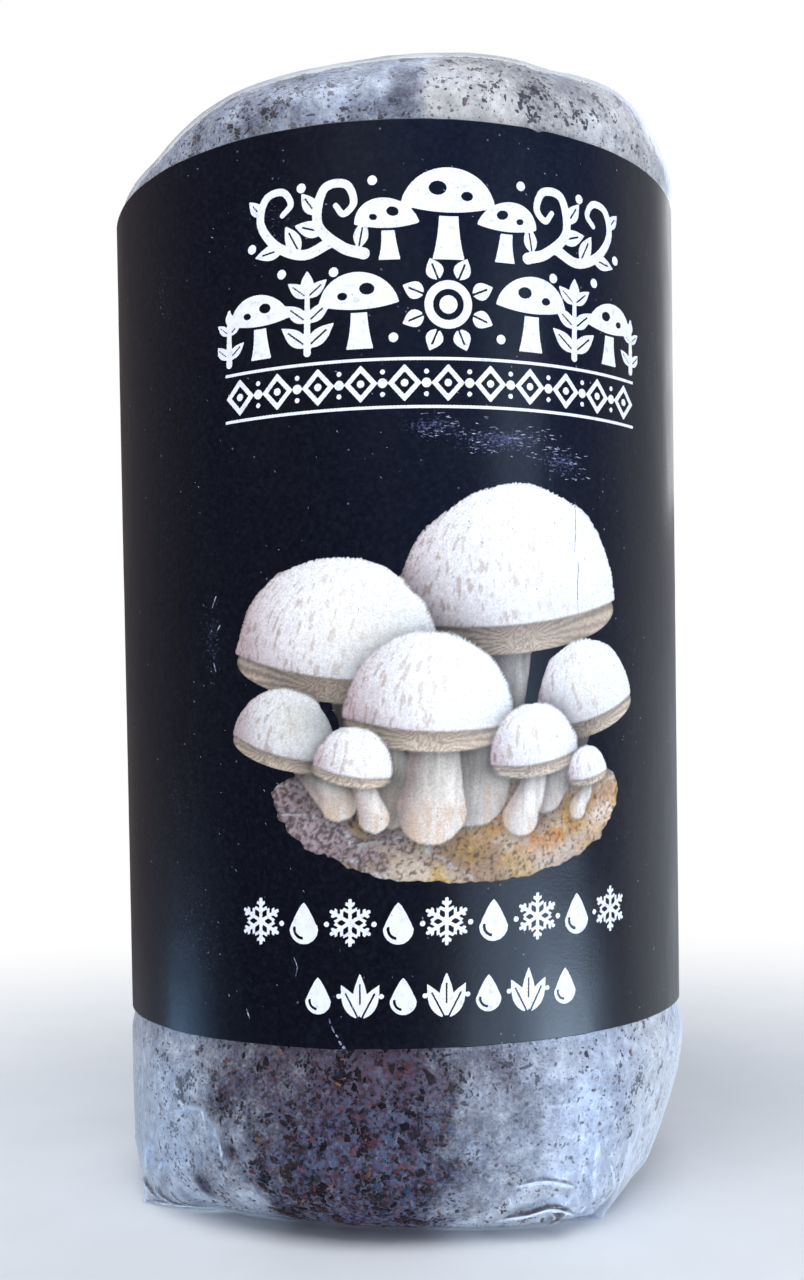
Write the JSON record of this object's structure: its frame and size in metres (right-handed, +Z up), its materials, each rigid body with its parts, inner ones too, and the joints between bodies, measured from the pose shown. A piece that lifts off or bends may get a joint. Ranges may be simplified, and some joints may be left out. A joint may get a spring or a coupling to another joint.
{
  "type": "bagged mushroom grow block",
  "caption": "Cylinder of mycelium-grown sawdust in a clear folded film bag, wrapped in a glossy dark label, standing upright; mushrooms fruit from it once it is opened and kept humid",
  "frame": {"origin": "on the floor under the middle of the block", "axes": "+Z up along the block, -Y the front of the label, +X to the viewer's right"},
  "size_m": [0.1331, 0.1335, 0.2575],
  "materials": {
    "mycelium": "white to lavender mycelium over brown sawdust, matt, with dark specks and slivers",
    "clear_film": "clear glossy film with soft wrinkles and a slight haze",
    "label_gloss": null,
    "filter_fleece": "white breathable fleece with a heat-sealed border",
    "clear_tape": "clear glossy adhesive tape"
  },
  "bodies": {
    "root": {"substrate_block": "mycelium", "grow_bag": "clear_film", "wrap_label": "label_gloss", "filter_patch": "filter_fleece", "closing_tape": "clear_tape"}
  },
  "joints": []
}
